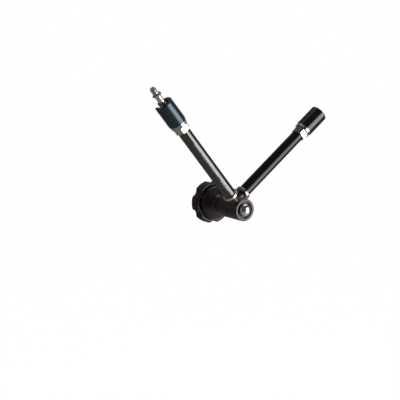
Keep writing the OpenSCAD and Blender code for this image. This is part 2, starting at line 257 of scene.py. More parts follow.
def arm_places(end, tilt_sign):
    """The places of an arm, its head and its stud, for the clamp end or the mic end."""
    swivel = joints[end + "_swivel"]
    ball = Vector(swivel["pos_m"])
    along = Vector(swivel["axis"])
    foot = Vector((elbow_point.x, ball.y, elbow_point.z))
    elbow_line = Vector(joints["elbow"]["axis"])
    tilt_line = Vector(joints[end + "_tilt"]["axis"]) * tilt_sign
    return {
        "arm": axes_at(foot, along, elbow_line.cross(along)),
        "head": axes_at(foot, along, tilt_line),
        "stud": axes_at(ball, joints[end + "_spin"]["axis"], tilt_line),
    }


clamp_places = arm_places("clamp", 1)
mic_places = arm_places("mic", -1)
elbow_place = axes_at(elbow_point, joints["elbow"]["axis"], (1.0, 0.0, 0.0))


def extent(name, place):
    """A node's lowest and highest corners in a place's own axes."""
    back = place.inverted()
    corners = [back @ vertex.co for vertex in frame["nodes"][name].data.vertices]
    low = Vector([min(corner[axis] for corner in corners) for axis in range(3)])
    high = Vector([max(corner[axis] for corner in corners) for axis in range(3)])
    return low, high


def soften(outline, closed, radius, steps=5):
    """Rounds the corners of an outline of (radius, height) points, and holds the flats flat."""
    made = []
    count = len(outline)
    for i, point in enumerate(outline):
        corner = Vector(point)
        if not closed and i in (0, count - 1):
            made.append(corner)
            continue
        before = Vector(outline[i - 1]) - corner
        after = Vector(outline[(i + 1) % count]) - corner
        cut = min(radius, 0.45 * before.length, 0.45 * after.length)
        start = corner + before.normalized() * cut
        end = corner + after.normalized() * cut
        made.append(start + before.normalized() * cut * 0.1)
        for step in range(steps + 1):
            t = step / steps
            made.append(start * (1 - t) ** 2 + corner * 2 * t * (1 - t) + end * t ** 2)
        made.append(end + after.normalized() * cut * 0.1)
    return made


def add_piece(name, mesh):
    piece = bpy.data.objects.new(name, mesh)
    bpy.context.scene.collection.objects.link(piece)
    return piece


def turned(name, outline, place, sides=144, sharp=40):
    """Turns an outline about a place's Z axis. The outline is a list of (radius, height) points, or a
    function of the angle that gives one. It closes on the axis, or else on itself as a ring."""
    shape = outline if callable(outline) else lambda angle: outline
    first = shape(0.0)
    solid = first[0][0] < 1e-7
    made = bmesh.new()
    rows = []
    for level in range(len(first)):
        if first[level][0] < 1e-7:
            rows.append([made.verts.new((0.0, 0.0, first[level][1]))] * sides)
            continue
        row = []
        for side in range(sides):
            angle = 2 * math.pi * side / sides
            radius, height = shape(angle)[level]
            row.append(made.verts.new((radius * math.cos(angle), radius * math.sin(angle), height)))
        rows.append(row)
    following = rows[1:] if solid else rows[1:] + rows[:1]
    for low, high in zip(rows, following):
        for side in range(sides):
            turn = (side + 1) % sides
            corners = [low[side], low[turn], high[turn], high[side]]
            distinct = [v for i, v in enumerate(corners) if v not in corners[:i]]
            made.faces.new(distinct)
    bmesh.ops.recalc_face_normals(made, faces=made.faces)
    mesh = bpy.data.meshes.new(name)
    made.to_mesh(mesh)
    made.free()
    mesh.transform(place)
    mesh.shade_smooth()
    mesh.set_sharp_from_angle(angle=math.radians(sharp))
    return add_piece(name, mesh)


def settle(piece, material, body, slot, *nodes):
    """Gives a finished piece its material, its body and the nodes that it stands for. The slot argument is not
    used.
    """
    piece.data.materials.clear()
    piece.data.materials.append(material)
    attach(piece, body)
    if nodes:
        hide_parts(*nodes)


# ---------------------------------------------------------------------------------------------
# Tubes. Each arm is a drawn aluminium tube, sized, brushed along its length and anodised black,
# with a tiny round at its ends. The upper tube has the glossier finish of the two. The bright
# rings and collars close both.
# ---------------------------------------------------------------------------------------------
TUBE_EDGE = 0.0003
TUBE_BORE = 0.008


def arm_coordinates(tree, place):
    """Object coordinates turned into an arm's own axes, so that grain follows the arm."""
    coordinates = node(tree, "ShaderNodeTexCoord", {}, (), "Object")
    back = place.inverted()
    return node(
        tree, "ShaderNodeMapping", {"vector_type": "POINT"},
        {"Vector": coordinates, "Location": back.to_translation(), "Rotation": back.to_euler()},
    )


def anodised(name, place, tint, index, smooth):
    """Black anodised aluminium: dark, satin, with a fine grain along the tube and faint handling marks."""
    material, tree = new_material(name)
    at = arm_coordinates(tree, place)
    drawn = node(tree, "ShaderNodeVectorMath", {"operation": "MULTIPLY"}, [at, (700.0, 700.0, 10.0)])
    grain = node(tree, "ShaderNodeTexNoise", {}, {"Vector": drawn, "Scale": 1.0, "Detail": 3.0})
    cloud = node(tree, "ShaderNodeTexNoise", {}, {"Vector": at, "Scale": 60.0, "Detail": 4.0})
    marks = node(
        tree, "ShaderNodeValToRGB", {"stops": [(0.62, 0.0), (0.74, 1.0)]},
        [node(tree, "ShaderNodeTexNoise", {}, {"Vector": at, "Scale": 240.0, "Detail": 6.0})],
    )
    colour = node(
        tree, "ShaderNodeMix", {"data_type": "RGBA"},
        {0: 0.5 * cloud, 6: (*tint, 1.0), 7: (0.010, 0.009, 0.009, 1.0)}, 2,
    )
    bump = node(tree, "ShaderNodeBump", {}, {"Strength": 0.03, "Distance": 0.0001, "Height": grain})
    shader = node(tree, "ShaderNodeBsdfPrincipled", {}, {
        "Base Color": colour, "Roughness": smooth + 0.06 * grain + 0.05 * marks,
        "Normal": bump, "IOR": index,
    })
    show(tree, shader)
    return material


def sleeve(name, source, place, bore, edge, low_offset=0.0):
    """A turned sleeve as long and as wide as the CAD node it comes from."""
    low, high = extent(source, place)
    radius = high.x
    outline = [(bore, low.z + low_offset), (radius, low.z + low_offset), (radius, high.z), (bore, high.z)]
    return turned(name, soften(outline, True, edge), place)


for arm, places, index, smooth in (("lower", clamp_places, 1.45, 0.15), ("upper", mic_places, 1.95, 0.05)):
    paint = anodised(arm + "_tube_anodised", places["arm"], (0.0045, 0.004, 0.004), index, smooth)
    tube = sleeve(arm + "_arm_tube", arm + "_tube", places["arm"], TUBE_BORE, TUBE_EDGE)
    settle(tube, paint, arm + "_arm", "black_tube", arm + "_tube")

# ---------------------------------------------------------------------------------------------
# Bright rings and collars. The inner ring of each tube, the hexagon collar that screws into its
# outer end and the gland ring that the head turns on are turned steel, polished and chromed. The
# hexagon's corners are turned off, which leaves the curved edges of a real nut.
# ---------------------------------------------------------------------------------------------
RING_EDGE = 0.0011
RING_BORE = 0.00705
JOURNAL_RADIUS = 0.0093
COLLAR_BORE = 0.0046
FACE_GAP = 0.0002
GLAND_BORE = 0.00935
GLAND_LIP = 0.0119
COLLAR_EDGE = 0.00035
HEX_DROP = 0.58
GLAND_GROOVE = 0.0005


def chrome(name, tint=(0.60, 0.555, 0.50), roughness=0.10):
    """Chromed steel: a mirror with slight haze, faint polishing lines and a few soft smears. Its warm tint is a
    painted reflection of brownish surroundings.
    """
    material, tree = new_material(name)
    at = node(tree, "ShaderNodeTexCoord", {}, (), "Object")
    haze = node(tree, "ShaderNodeTexNoise", {}, {"Vector": at, "Scale": 90.0, "Detail": 4.0})
    lines = node(tree, "ShaderNodeTexNoise", {}, {"Vector": at, "Scale": 1400.0, "Detail": 2.0})
    ripple = node(tree, "ShaderNodeBump", {}, {"Strength": 0.02, "Distance": 0.0001, "Height": lines})
    colour = node(
        tree, "ShaderNodeMix", {"data_type": "RGBA"},
        {0: 0.5 * haze, 6: (*tint, 1.0), 7: (tint[0] * 0.86, tint[1] * 0.82, tint[2] * 0.79, 1.0)}, 2,
    )
    shader = node(tree, "ShaderNodeBsdfPrincipled", {}, {
        "Base Color": colour, "Metallic": 1.0, "Roughness": roughness + 0.08 * haze, "Normal": ripple,
    })
    show(tree, shader)
    return material


# the default chrome tint is warm: a painted brownish reflection
bright = chrome("chromed_steel")


def hexagon_radius(angle, flats):
    """The distance from a hexagon's centre to its side, at an angle measured from a corner."""
    turn = math.fmod(angle, math.pi / 3) - math.pi / 6
    return flats / 2 / math.cos(turn)


for arm, end, places in (("lower", "clamp", clamp_places), ("upper", "mic", mic_places)):
    place = places["arm"]
    ring = sleeve(arm + "_inner_ring", arm + "_neck_ring", place, RING_BORE, RING_EDGE)
    settle(ring, bright, arm + "_arm", "chrome", arm + "_neck_ring")

    plug_low, journal_high = extent(arm + "_hex_collar", place)
    tube_end = extent(arm + "_tube", place)[1].z
    gland_low, gland_high = extent(end + "_gland_ring", place)
    flats = 2 * journal_high.y
    hex_low, hex_high = tube_end, gland_low.z - FACE_GAP
    face = flats / 2 - 0.0002

    def collar_outline(angle):
        corner = hexagon_radius(angle, flats)
        drop = (corner - face) * HEX_DROP
        plug, journal, bore = TUBE_BORE, JOURNAL_RADIUS, COLLAR_BORE
        return [
            (bore, plug_low.z), (plug, plug_low.z), (plug, hex_low), (face, hex_low),
            (corner - 0.0002, hex_low + drop), (corner, hex_low + drop + 0.0002),
            (corner, hex_high - drop - 0.0002), (corner - 0.0002, hex_high - drop), (face, hex_high),
            (journal, hex_high), (journal, journal_high.z), (bore, journal_high.z),
        ]

    collar = turned(arm + "_hexagon_collar", collar_outline, place, 288, 25)
    settle(collar, bright, arm + "_arm", "chrome", arm + "_hex_collar")

    radius = gland_high.x
    head_low = extent(end + "_head_cup", place)[0]
    middle = (gland_low.z + head_low.z) / 2
    outline = soften([
        (GLAND_BORE, gland_low.z), (radius, gland_low.z), (radius, middle - GLAND_GROOVE),
        (radius - GLAND_GROOVE, middle), (radius, middle + GLAND_GROOVE),
        (radius, head_low.z), (GLAND_LIP, head_low.z + 0.0002), (GLAND_LIP, gland_high.z),
        (GLAND_BORE, gland_high.z),
    ], True, COLLAR_EDGE, 3)
    gland = turned(end + "_gland", outline, place)
    settle(gland, bright, end + "_head", "chrome", end + "_gland_ring")

# ---------------------------------------------------------------------------------------------
# Heads. A head is a thick steel cup, bored for its ball from behind, with a slot milled from its mouth to the
# ball's middle. The clamp head has glossy black enamel. The mic head has a metallic finish with a broad sheen, and
# its blue-black colour is a painted blue reflection.
# ---------------------------------------------------------------------------------------------
HEAD_EDGE = 0.0011
SLOT_WIDTH = 0.0115
MOUTH_RADIUS = 0.0085
MOUTH_FLARE = 0.0014
CUP_RADIUS = 0.01035
SLEEVE_RADIUS = 0.0120
SLEEVE_DEPTH = 0.0134
SLOT_REACH = 0.03


def enamel(name, place, base, metallic, roughness, coat, peel):
    """A sprayed and baked finish: slightly uneven colour, orange peel, and patches dulled by wear."""
    material, tree = new_material(name)
    at = arm_coordinates(tree, place)
    patches = node(tree, "ShaderNodeTexNoise", {}, {"Vector": at, "Scale": 75.0, "Detail": 5.0})
    skin = node(tree, "ShaderNodeTexNoise", {}, {"Vector": at, "Scale": 1100.0, "Detail": 2.0})
    colour = node(
        tree, "ShaderNodeMix", {"data_type": "RGBA"},
        {0: 0.6 * patches, 6: (*base, 1.0), 7: (base[0] * 1.7, base[1] * 1.6, base[2] * 1.5, 1.0)}, 2,
    )
    bump = node(tree, "ShaderNodeBump", {}, {"Strength": peel, "Distance": 0.0002, "Height": skin})
    shader = node(tree, "ShaderNodeBsdfPrincipled", {}, {
        "Base Color": colour, "Metallic": metallic, "Roughness": roughness + 0.08 * patches,
        "Normal": bump, "Coat Weight": coat, "Coat Roughness": 0.06,
    })
    show(tree, shader)
    return material


def cut(piece, cutters, bevel):
    """Cuts one piece with others, softens the new edges and leaves a plain mesh."""
    for cutter in cutters:
        modifier = piece.modifiers.new("cut", "BOOLEAN")
        modifier.operation = "DIFFERENCE"
        modifier.solver = "EXACT"
        modifier.object = cutter
    if bevel:
        modifier = piece.modifiers.new("soften", "BEVEL")
        modifier.width = bevel
        modifier.segments = 3
        modifier.limit_method = "ANGLE"
        modifier.angle_limit = math.radians(50)
    return baked(piece, cutters)


def baked(piece, helpers=()):
    """Turns a piece and its modifiers into a plain mesh, and removes the helper objects."""
    bpy.context.view_layer.update()
    evaluated = piece.evaluated_get(bpy.context.evaluated_depsgraph_get())
    mesh = bpy.data.meshes.new_from_object(evaluated)
    piece.modifiers.clear()
    piece.data = mesh
    mesh.shade_smooth()
    mesh.set_sharp_from_angle(angle=math.radians(35))
    for helper in helpers:
        bpy.data.objects.remove(helper)
    return piece


def slot_cutter(name, place, ball_height, reach, width):
    """A round-bottomed slot that leaves the cup along +Y and through its mouth."""
    made = bmesh.new()
    steps = 24
    half = width / 2
    arc = [
        (half * math.cos(math.pi * i / steps), -half * math.sin(math.pi * i / steps))
        for i in range(steps + 1)
    ]
    outline = [(half, reach)] + arc + [(-half, reach)]
    near = [made.verts.new((x, 0.0, ball_height + z)) for x, z in outline]
    far = [made.verts.new((x, reach, ball_height + z)) for x, z in outline]
    made.faces.new(near)
    made.faces.new(list(reversed(far)))
    for i in range(len(outline)):
        turn = (i + 1) % len(outline)
        made.faces.new([near[turn], near[i], far[i], far[turn]])
    bmesh.ops.recalc_face_normals(made, faces=made.faces)
    mesh = bpy.data.meshes.new(name)
    made.to_mesh(mesh)
    made.free()
    mesh.transform(place)
    return add_piece(name, mesh)


clamp_paint = enamel(
    "black_enamel", clamp_places["head"], (0.004, 0.0035, 0.003), 0.0, 0.16, 0.3, 0.01
)
# the mic head's blue-black base colour is a painted blue reflection on the same black enamel
mic_paint = enamel(
    "blue_black_enamel", mic_places["head"], (0.046, 0.062, 0.070), 0.9, 0.22, 0.05, 0.015
)
head_paints = {
    "clamp": ("black_enamel", clamp_paint), "mic": ("blue_black_enamel", mic_paint),
}
for end, places in (("clamp", clamp_places), ("mic", mic_places)):
    place = places["head"]
    low, high = extent(end + "_head_cup", place)
    ball_height = (places["stud"].translation - place.translation).length
    radius = high.x
    cup = CUP_RADIUS
    lip = math.asin(MOUTH_RADIUS / cup)
    turns = [math.pi / 2 - i * (math.pi / 2 - lip) / 8 for i in range(9)]
    bowl = [(cup * math.sin(turn), ball_height + cup * math.cos(turn)) for turn in turns]
    shoulder = low.z + SLEEVE_DEPTH
    outer = soften([
        (SLEEVE_RADIUS, low.z), (radius, low.z), (radius, high.z), (MOUTH_RADIUS + MOUTH_FLARE, high.z),
    ], False, HEAD_EDGE)
    inner = [(MOUTH_RADIUS, high.z - MOUTH_FLARE)] + list(reversed(bowl))
    inner += [(cup, shoulder), (SLEEVE_RADIUS, shoulder)]
    cup_piece = turned(end + "_head", outer + inner, place)
    cutter = slot_cutter("cutter", place, ball_height, SLOT_REACH, SLOT_WIDTH)
    cup_piece = cut(cup_piece, [cutter], 0.00025)
    slot_name, paint = head_paints[end]
    settle(cup_piece, paint, end + "_head", slot_name, end + "_head_cup")

# ---------------------------------------------------------------------------------------------
# Balls and studs. Each ball is ground steel, with a short neck, and a stud spins in it on a
# riveted pivot. The clamp stud ends in a plain five-eighths inch spigot, and the mic stud in a
# small hexagon collar and a three-eighths inch thread with sixteen turns to the inch.
# ---------------------------------------------------------------------------------------------
BALL_RADIUS = 0.010
BALL_NECK_END = 0.0116
BALL_SEAM = 0.00012
PIVOT_RADIUS = 0.003
PIVOT_END = -0.0084
THREAD_PITCH = 0.0254 / 16
THREAD_DEPTH = 0.00062
CENTRE_DRILL = 0.0012
STUD_THREAD = 0.009525
STUD_COLLAR_LOW = 0.028
STUD_COLLAR_HIGH = 0.031
STUD_COLLAR_FLATS = 0.013
STUD_COLLAR_FACE = 0.0063
SHANK_RADIUS = 0.005
SHANK_COLLAR_RADIUS = 0.0061


def ground_steel(name, place, tint, roughness):
    """Ground and polished steel: fine rings left by the wheel, and a little uneven haze."""
    material, tree = new_material(name)
    at = arm_coordinates(tree, place)
    rings = node(tree, "ShaderNodeVectorMath", {"operation": "MULTIPLY"}, [at, (30.0, 30.0, 2600.0)])
    turned_lines = node(tree, "ShaderNodeTexNoise", {}, {"Vector": rings, "Scale": 1.0, "Detail": 2.0})
    haze = node(tree, "ShaderNodeTexNoise", {}, {"Vector": at, "Scale": 130.0, "Detail": 4.0})
    colour = node(
        tree, "ShaderNodeMix", {"data_type": "RGBA"},
        {0: 0.7 * haze, 6: (*tint, 1.0), 7: (tint[0] * 0.72, tint[1] * 0.70, tint[2] * 0.68, 1.0)}, 2,
    )
    bump = node(tree, "ShaderNodeBump", {}, {"Strength": 0.10, "Distance": 0.0001, "Height": turned_lines})
    shader = node(tree, "ShaderNodeBsdfPrincipled", {}, {
        "Base Color": colour, "Metallic": 1.0,
        "Roughness": roughness + 0.12 * haze + 0.05 * turned_lines, "Normal": bump,
    })
    show(tree, shader)
    return material


def thread_tree(name):
    """A node tree that winds a thread: a helix curve swept with a blunt triangle, on a plain core."""
    tree = bpy.data.node_groups.new(name, "GeometryNodeTree")
    face = tree.interface
    for label, kind in (
        ("Radius", "NodeSocketFloat"), ("Depth", "NodeSocketFloat"), ("Length", "NodeSocketFloat"),
        ("Pitch", "NodeSocketFloat"), ("Material", "NodeSocketMaterial"),
    ):
        face.new_socket(label, in_out="INPUT", socket_type=kind)
    face.new_socket("Geometry", in_out="OUTPUT", socket_type="NodeSocketGeometry")
    inputs = tree.nodes.new("NodeGroupInput")
    given = {socket.name: Wire(tree, socket) for socket in inputs.outputs if socket.name}
    turns = node(tree, "ShaderNodeMath", {"operation": "DIVIDE"}, [given["Length"], given["Pitch"]])
    middle = given["Radius"] - 0.62 * given["Depth"]
    helix = node(tree, "GeometryNodeCurveSpiral", {}, {
        "Resolution": 48, "Rotations": turns, "Start Radius": middle, "End Radius": middle,
        "Height": given["Length"],
    })
    crest = node(tree, "GeometryNodeCurvePrimitiveCircle", {"mode": "RADIUS"}, {
        "Resolution": 6, "Radius": 0.62 * given["Depth"],
    })
    ridge = node(tree, "GeometryNodeCurveToMesh", {}, {
        "Curve": helix, "Profile Curve": crest, "Fill Caps": True,
    })
    whole = node(tree, "GeometryNodeRealizeInstances", {}, [ridge])
    painted = node(tree, "GeometryNodeSetMaterial", {}, {"Geometry": whole, "Material": given["Material"]})
    out = tree.nodes.new("NodeGroupOutput")
    tree.links.new(painted.socket, out.inputs["Geometry"])
    return tree


def grown(name, tree, values, place):
    """Runs a node tree on an empty mesh, and returns its result as a plain mesh in its place."""
    piece = add_piece(name, bpy.data.meshes.new(name + "_seed"))
    modifier = piece.modifiers.new("grow", "NODES")
    modifier.node_group = tree
    names = {item.name: item.identifier for item in tree.interface.items_tree if item.in_out == "INPUT"}
    for key, value in values.items():
        modifier[names[key]] = value
    bpy.context.view_layer.update()
    mesh = bpy.data.meshes.new_from_object(piece.evaluated_get(bpy.context.evaluated_depsgraph_get()))
    piece.modifiers.clear()
    piece.data = mesh
    mesh.transform(place)
    mesh.shade_smooth()
    mesh.set_sharp_from_angle(angle=math.radians(40))
    return piece


def joined(pieces):
    """Joins pieces into the first one."""
    first = pieces[0]
    made = bmesh.new()
    for piece in pieces:
        made.from_mesh(piece.data)
    made.to_mesh(first.data)
    made.free()
    for piece in pieces[1:]:
        bpy.data.objects.remove(piece)
    first.data.shade_smooth()
    first.data.set_sharp_from_angle(angle=math.radians(40))
    return first


for end, places in (("clamp", clamp_places), ("mic", mic_places)):
    place = places["stud"]
    steel = ground_steel(end + "_ground_steel", place, (0.74, 0.72, 0.70), 0.12)
    pole = [
        (BALL_RADIUS * math.sin(math.radians(a)), BALL_RADIUS * math.cos(math.radians(a)))
        for a in range(152, 30, -4)
    ]
    bore = PIVOT_RADIUS + 0.00005
    outline = [(0.00455, -0.0065), (0.00455, pole[0][1] - 0.0001)] + pole + [
        (0.005, 0.00866), (0.005, BALL_NECK_END - 0.0004), (0.0046, BALL_NECK_END),
        (bore, BALL_NECK_END), (bore, -0.0065),
    ]
    ball = turned(end + "_joint_ball", outline, place, 96, 30)
    settle(ball, steel, end + "_ball", "polished_steel", end + "_ball")

    low, high = extent(end + "_stud", place)
    start = BALL_NECK_END + BALL_SEAM
    pivot = [
        (0.0, PIVOT_END), (0.0022, PIVOT_END), (0.0022, -0.0066), (PIVOT_RADIUS, -0.0066),
        (PIVOT_RADIUS, start),
    ]
    if end == "clamp":
        shoulder = place.translation.length
        spigot = high.x
        body = soften([
            (PIVOT_RADIUS, start), (SHANK_RADIUS, start), (SHANK_RADIUS, shoulder), (spigot, shoulder),
            (spigot, high.z - 0.001), (spigot - 0.001, high.z), (CENTRE_DRILL, high.z),
            (0.0, high.z - CENTRE_DRILL),
        ], False, 0.0003, 3)
        stud = turned("clamp_spigot", pivot[:-1] + body, place, 120, 30)
    else:
        collar_low, collar_high, thread_high = STUD_COLLAR_LOW, STUD_COLLAR_HIGH, high.z
        thread_radius = STUD_THREAD / 2
        core = thread_radius - THREAD_DEPTH
        body = [
            (PIVOT_RADIUS, start), (SHANK_RADIUS - 0.0004, start), (SHANK_RADIUS, start + 0.0004),
            (SHANK_RADIUS, collar_low),
            (SHANK_COLLAR_RADIUS, collar_low), (SHANK_COLLAR_RADIUS, collar_high), (core, collar_high),
            (core, thread_high - 0.0008), (core - 0.0006, thread_high), (CENTRE_DRILL, thread_high),
            (0.0, thread_high - CENTRE_DRILL),
        ]
        shank = turned("mic_shank", pivot[:-1] + body, place, 96, 30)

        def small_hexagon(angle):
            corner = hexagon_radius(angle, STUD_COLLAR_FLATS)
            drop = (corner - STUD_COLLAR_FACE) * HEX_DROP
            return [
                (0.0, collar_low), (STUD_COLLAR_FACE, collar_low), (corner, collar_low + drop),
                (corner, collar_high - drop), (STUD_COLLAR_FACE, collar_high), (0.0, collar_high),
            ]

        nut = turned("mic_collar", small_hexagon, place, 144, 25)
        thread = grown("mic_thread", thread_tree("wound_thread"), {
            "Radius": thread_radius, "Depth": THREAD_DEPTH, "Length": thread_high - collar_high - 0.0016,
            "Pitch": THREAD_PITCH, "Material": steel,
        }, place @ Matrix.Translation((0.0, 0.0, collar_high + 0.0004)))
        stud = joined([shank, nut, thread])
    settle(stud, steel, end + "_stud", "polished_steel", end + "_stud")

# ---------------------------------------------------------------------------------------------
# Inside the arms. The push rods are ground steel, their bronze seats press on the balls, nylon
# bushes keep the rods in the middle of the tubes, and spring-steel clips hold what turns.
# ---------------------------------------------------------------------------------------------


def plain_finish(name, base, metallic, roughness, grain_size, relief):
    """A simple turned or moulded finish: one base colour with small variation and a fine surface grain."""
    material, tree = new_material(name)
    at = node(tree, "ShaderNodeTexCoord", {}, (), "Object")
    clouds = node(tree, "ShaderNodeTexNoise", {}, {"Vector": at, "Scale": 120.0, "Detail": 4.0})
    grain = node(tree, "ShaderNodeTexNoise", {}, {"Vector": at, "Scale": grain_size, "Detail": 3.0})
    colour = node(
        tree, "ShaderNodeMix", {"data_type": "RGBA"},
        {0: 0.6 * clouds, 6: (*base, 1.0), 7: (*[channel * 0.7 for channel in base], 1.0)}, 2,
    )
    bump = node(tree, "ShaderNodeBump", {}, {"Strength": relief, "Distance": 0.0002, "Height": grain})
    shader = node(tree, "ShaderNodeBsdfPrincipled", {}, {
        "Base Color": colour, "Metallic": metallic, "Roughness": roughness + 0.12 * clouds, "Normal": bump,
    })
    show(tree, shader)
    return material


inner_finishes = {
    "rod_steel": plain_finish("rod_steel", (0.50, 0.50, 0.51), 1.0, 0.22, 900.0, 0.05),
    "seat_bronze": plain_finish("seat_bronze", (0.52, 0.34, 0.18), 1.0, 0.34, 900.0, 0.08),
    "spring_steel": plain_finish("spring_steel", (0.055, 0.052, 0.050), 0.8, 0.38, 700.0, 0.05),
    "white_nylon": plain_finish("white_nylon", (0.76, 0.75, 0.70), 0.0, 0.45, 500.0, 0.05),
    "friction_lining": plain_finish("friction_lining", (0.17, 0.09, 0.055), 0.0, 0.75, 1600.0, 0.25),
    "brass": plain_finish("brass", (0.86, 0.62, 0.44), 1.0, 0.20, 900.0, 0.05),
}
for row in frame["record"]["subparts"]:
    if row["material_slot"] in inner_finishes:
        inner = frame["nodes"][row["node"]]
        inner.data.materials.clear()
        inner.data.materials.append(inner_finishes[row["material_slot"]])

# ---------------------------------------------------------------------------------------------
# Knuckles. Two black castings turn against each other on a fibre disc. Each has a turned drum and
# a neck that plugs into its tube. The upper one is recessed for the springs and the domed nut.
# ---------------------------------------------------------------------------------------------
NECK_RADIUS = 0.007
NECK_EDGE = 0.0012
ROD_BORE = 0.0046
CHAMBER_RADIUS = 0.0091
DRUM_ROUND = 0.0016
WEB = 0.0052
RECESS_RADIUS = 0.0136
RECESS_DEPTH = 0.0045
FAR_AXLE_BORE = 0.00405
NEAR_AXLE_BORE = 0.00505
OVERRUN = 0.01


def casting(name):
    """A cast and stoved knuckle: dark brown-black, faintly pebbled, smoother where hands rub it."""
    material, tree = new_material(name)
    at = node(tree, "ShaderNodeTexCoord", {}, (), "Object")
    clouds = node(tree, "ShaderNodeTexNoise", {}, {"Vector": at, "Scale": 70.0, "Detail": 5.0})
    pebbles = node(
        tree, "ShaderNodeTexVoronoi", {"feature": "SMOOTH_F1"}, {"Vector": at, "Scale": 900.0}
    )
    colour = node(
        tree, "ShaderNodeMix", {"data_type": "RGBA"},
        {0: 0.8 * clouds, 6: (0.007, 0.006, 0.006, 1.0), 7: (0.046, 0.018, 0.010, 1.0)}, 2,
    )
    bump = node(tree, "ShaderNodeBump", {}, {"Strength": 0.12, "Distance": 0.0002, "Height": pebbles})
    shader = node(tree, "ShaderNodeBsdfPrincipled", {}, {
        "Base Color": colour, "Roughness": 0.30 + 0.14 * clouds, "Normal": bump,
        "Coat Weight": 0.2, "Coat Roughness": 0.2,
    })
    show(tree, shader)
    return material


cast_black = casting("cast_black")


def knuckle(arm, place, facing):
    """A drum and its neck, cut for the cone chamber, the axle and the push rod."""
    low, high = extent(arm + "_knuckle", elbow_place)
    neck_end = extent(arm + "_knuckle", place)[1].z
    tube_start = extent(arm + "_tube", place)[0].z
    radius = high.y
    inner = min(abs(low.z), abs(high.z))
    outer = max(abs(low.z), abs(high.z))
    side = elbow_place @ Matrix.Diagonal((1.0, facing, facing, 1.0))
    axle = FAR_AXLE_BORE if facing > 0 else NEAR_AXLE_BORE
    if facing > 0:
        bore = [
            (axle, outer), (axle, outer - WEB), (CHAMBER_RADIUS, outer - WEB), (CHAMBER_RADIUS, inner),
        ]
    else:
        floor_at = outer - RECESS_DEPTH
        bore = [
            (RECESS_RADIUS + 0.0006, outer), (RECESS_RADIUS, outer - 0.0006), (RECESS_RADIUS, floor_at),
            (CHAMBER_RADIUS, floor_at), (CHAMBER_RADIUS, inner + WEB), (axle, inner + WEB), (axle, inner),
        ]
    rim = soften([
        (bore[-1][0], inner), (radius, inner), (radius, outer), (bore[0][0], outer),
    ], False, DRUM_ROUND, 6)
    drum = turned(arm + "_cast_knuckle", rim + bore, side, 160)
    neck = turned("neck", soften([
        (0.0, radius * 0.5), (NECK_RADIUS, radius * 0.5), (NECK_RADIUS, tube_start),
        (TUBE_BORE, tube_start), (TUBE_BORE, neck_end), (0.0, neck_end),
    ], False, 0.0002, 2), place, 96)
    below, roof = inner - OVERRUN, outer - WEB
    if facing > 0:
        hollow = [(0.0, below), (CHAMBER_RADIUS, below), (CHAMBER_RADIUS, roof), (0.0, roof)]
    else:
        hollow = [
            (0.0, below), (axle + 0.0004, below), (axle + 0.0004, inner + WEB),
            (CHAMBER_RADIUS, inner + WEB), (CHAMBER_RADIUS, roof), (0.0, roof),
        ]
    chamber = turned("chamber", hollow, side, 96)
    channel_end = neck_end + OVERRUN
    channel = [(0.0, 0.0), (ROD_BORE, 0.0), (ROD_BORE, channel_end), (0.0, channel_end)]
    rod = turned("rod", channel, place, 64)
    union = drum.modifiers.new("neck", "BOOLEAN")
    union.operation = "UNION"
    union.solver = "EXACT"
    union.object = neck
    fillet = drum.modifiers.new("fillet", "BEVEL")
    fillet.width = NECK_EDGE
    fillet.segments = 4
    fillet.limit_method = "ANGLE"
    fillet.angle_limit = math.radians(50)
    drum = cut(drum, [chamber, rod], 0)
    bpy.data.objects.remove(neck)
    settle(drum, cast_black, arm + "_arm", "black_casting", arm + "_knuckle")


knuckle("lower", clamp_places["arm"], 1)
knuckle("upper", mic_places["arm"], -1)

# ---------------------------------------------------------------------------------------------
# Domed nut. A chromed nut with a deep round crown closes the axle's near end and sits in the
# upper knuckle's recess on two dished springs.
# ---------------------------------------------------------------------------------------------
DOME_HEIGHT = 0.0075
NUT_BORE = 0.004
NUT_HOLD = 0.003
NUT_EDGE = 0.0006

low, high = extent("dome_nut", elbow_place)
dome_radius = high.x
crown_start = low.z + DOME_HEIGHT
crown = [
    (dome_radius * math.sin(math.radians(a)), crown_start - DOME_HEIGHT * math.cos(math.radians(a)))
    for a in range(0, 91, 5)
]
nut_outline = crown + [
    (dome_radius, high.z - NUT_EDGE), (dome_radius - NUT_EDGE, high.z), (NUT_BORE, high.z),
    (NUT_BORE, crown_start - NUT_HOLD), (0.0, crown_start - NUT_HOLD),
]
dome = turned("domed_nut", nut_outline, elbow_place, 128, 50)
settle(dome, chrome("domed_nut_chrome", (0.80, 0.78, 0.74), 0.09), "axle", "chrome", "dome_nut")

# ---------------------------------------------------------------------------------------------
# Knob. A moulded body, dark and slightly red, flares from its hub to a broad boss. A lobed
# rubber grip is pressed over the boss, and a moulded cap closes the back.
# ---------------------------------------------------------------------------------------------
HUB_RADIUS = 0.0125
BOSS_LENGTH = 0.008
INSERT_RADIUS = 0.007
WELL_RADIUS = 0.010
LOBES = 6
NOTCH_RADIUS = 0.009
NOTCH_DEPTH = 0.004
NOTCH_TURN = math.radians(30)
NOTCH_BLEND = 0.0006
GRIP_ROUND = 0.0042
CAP_DISH = 0.0009
CAP_DISH_RADIUS = 0.017


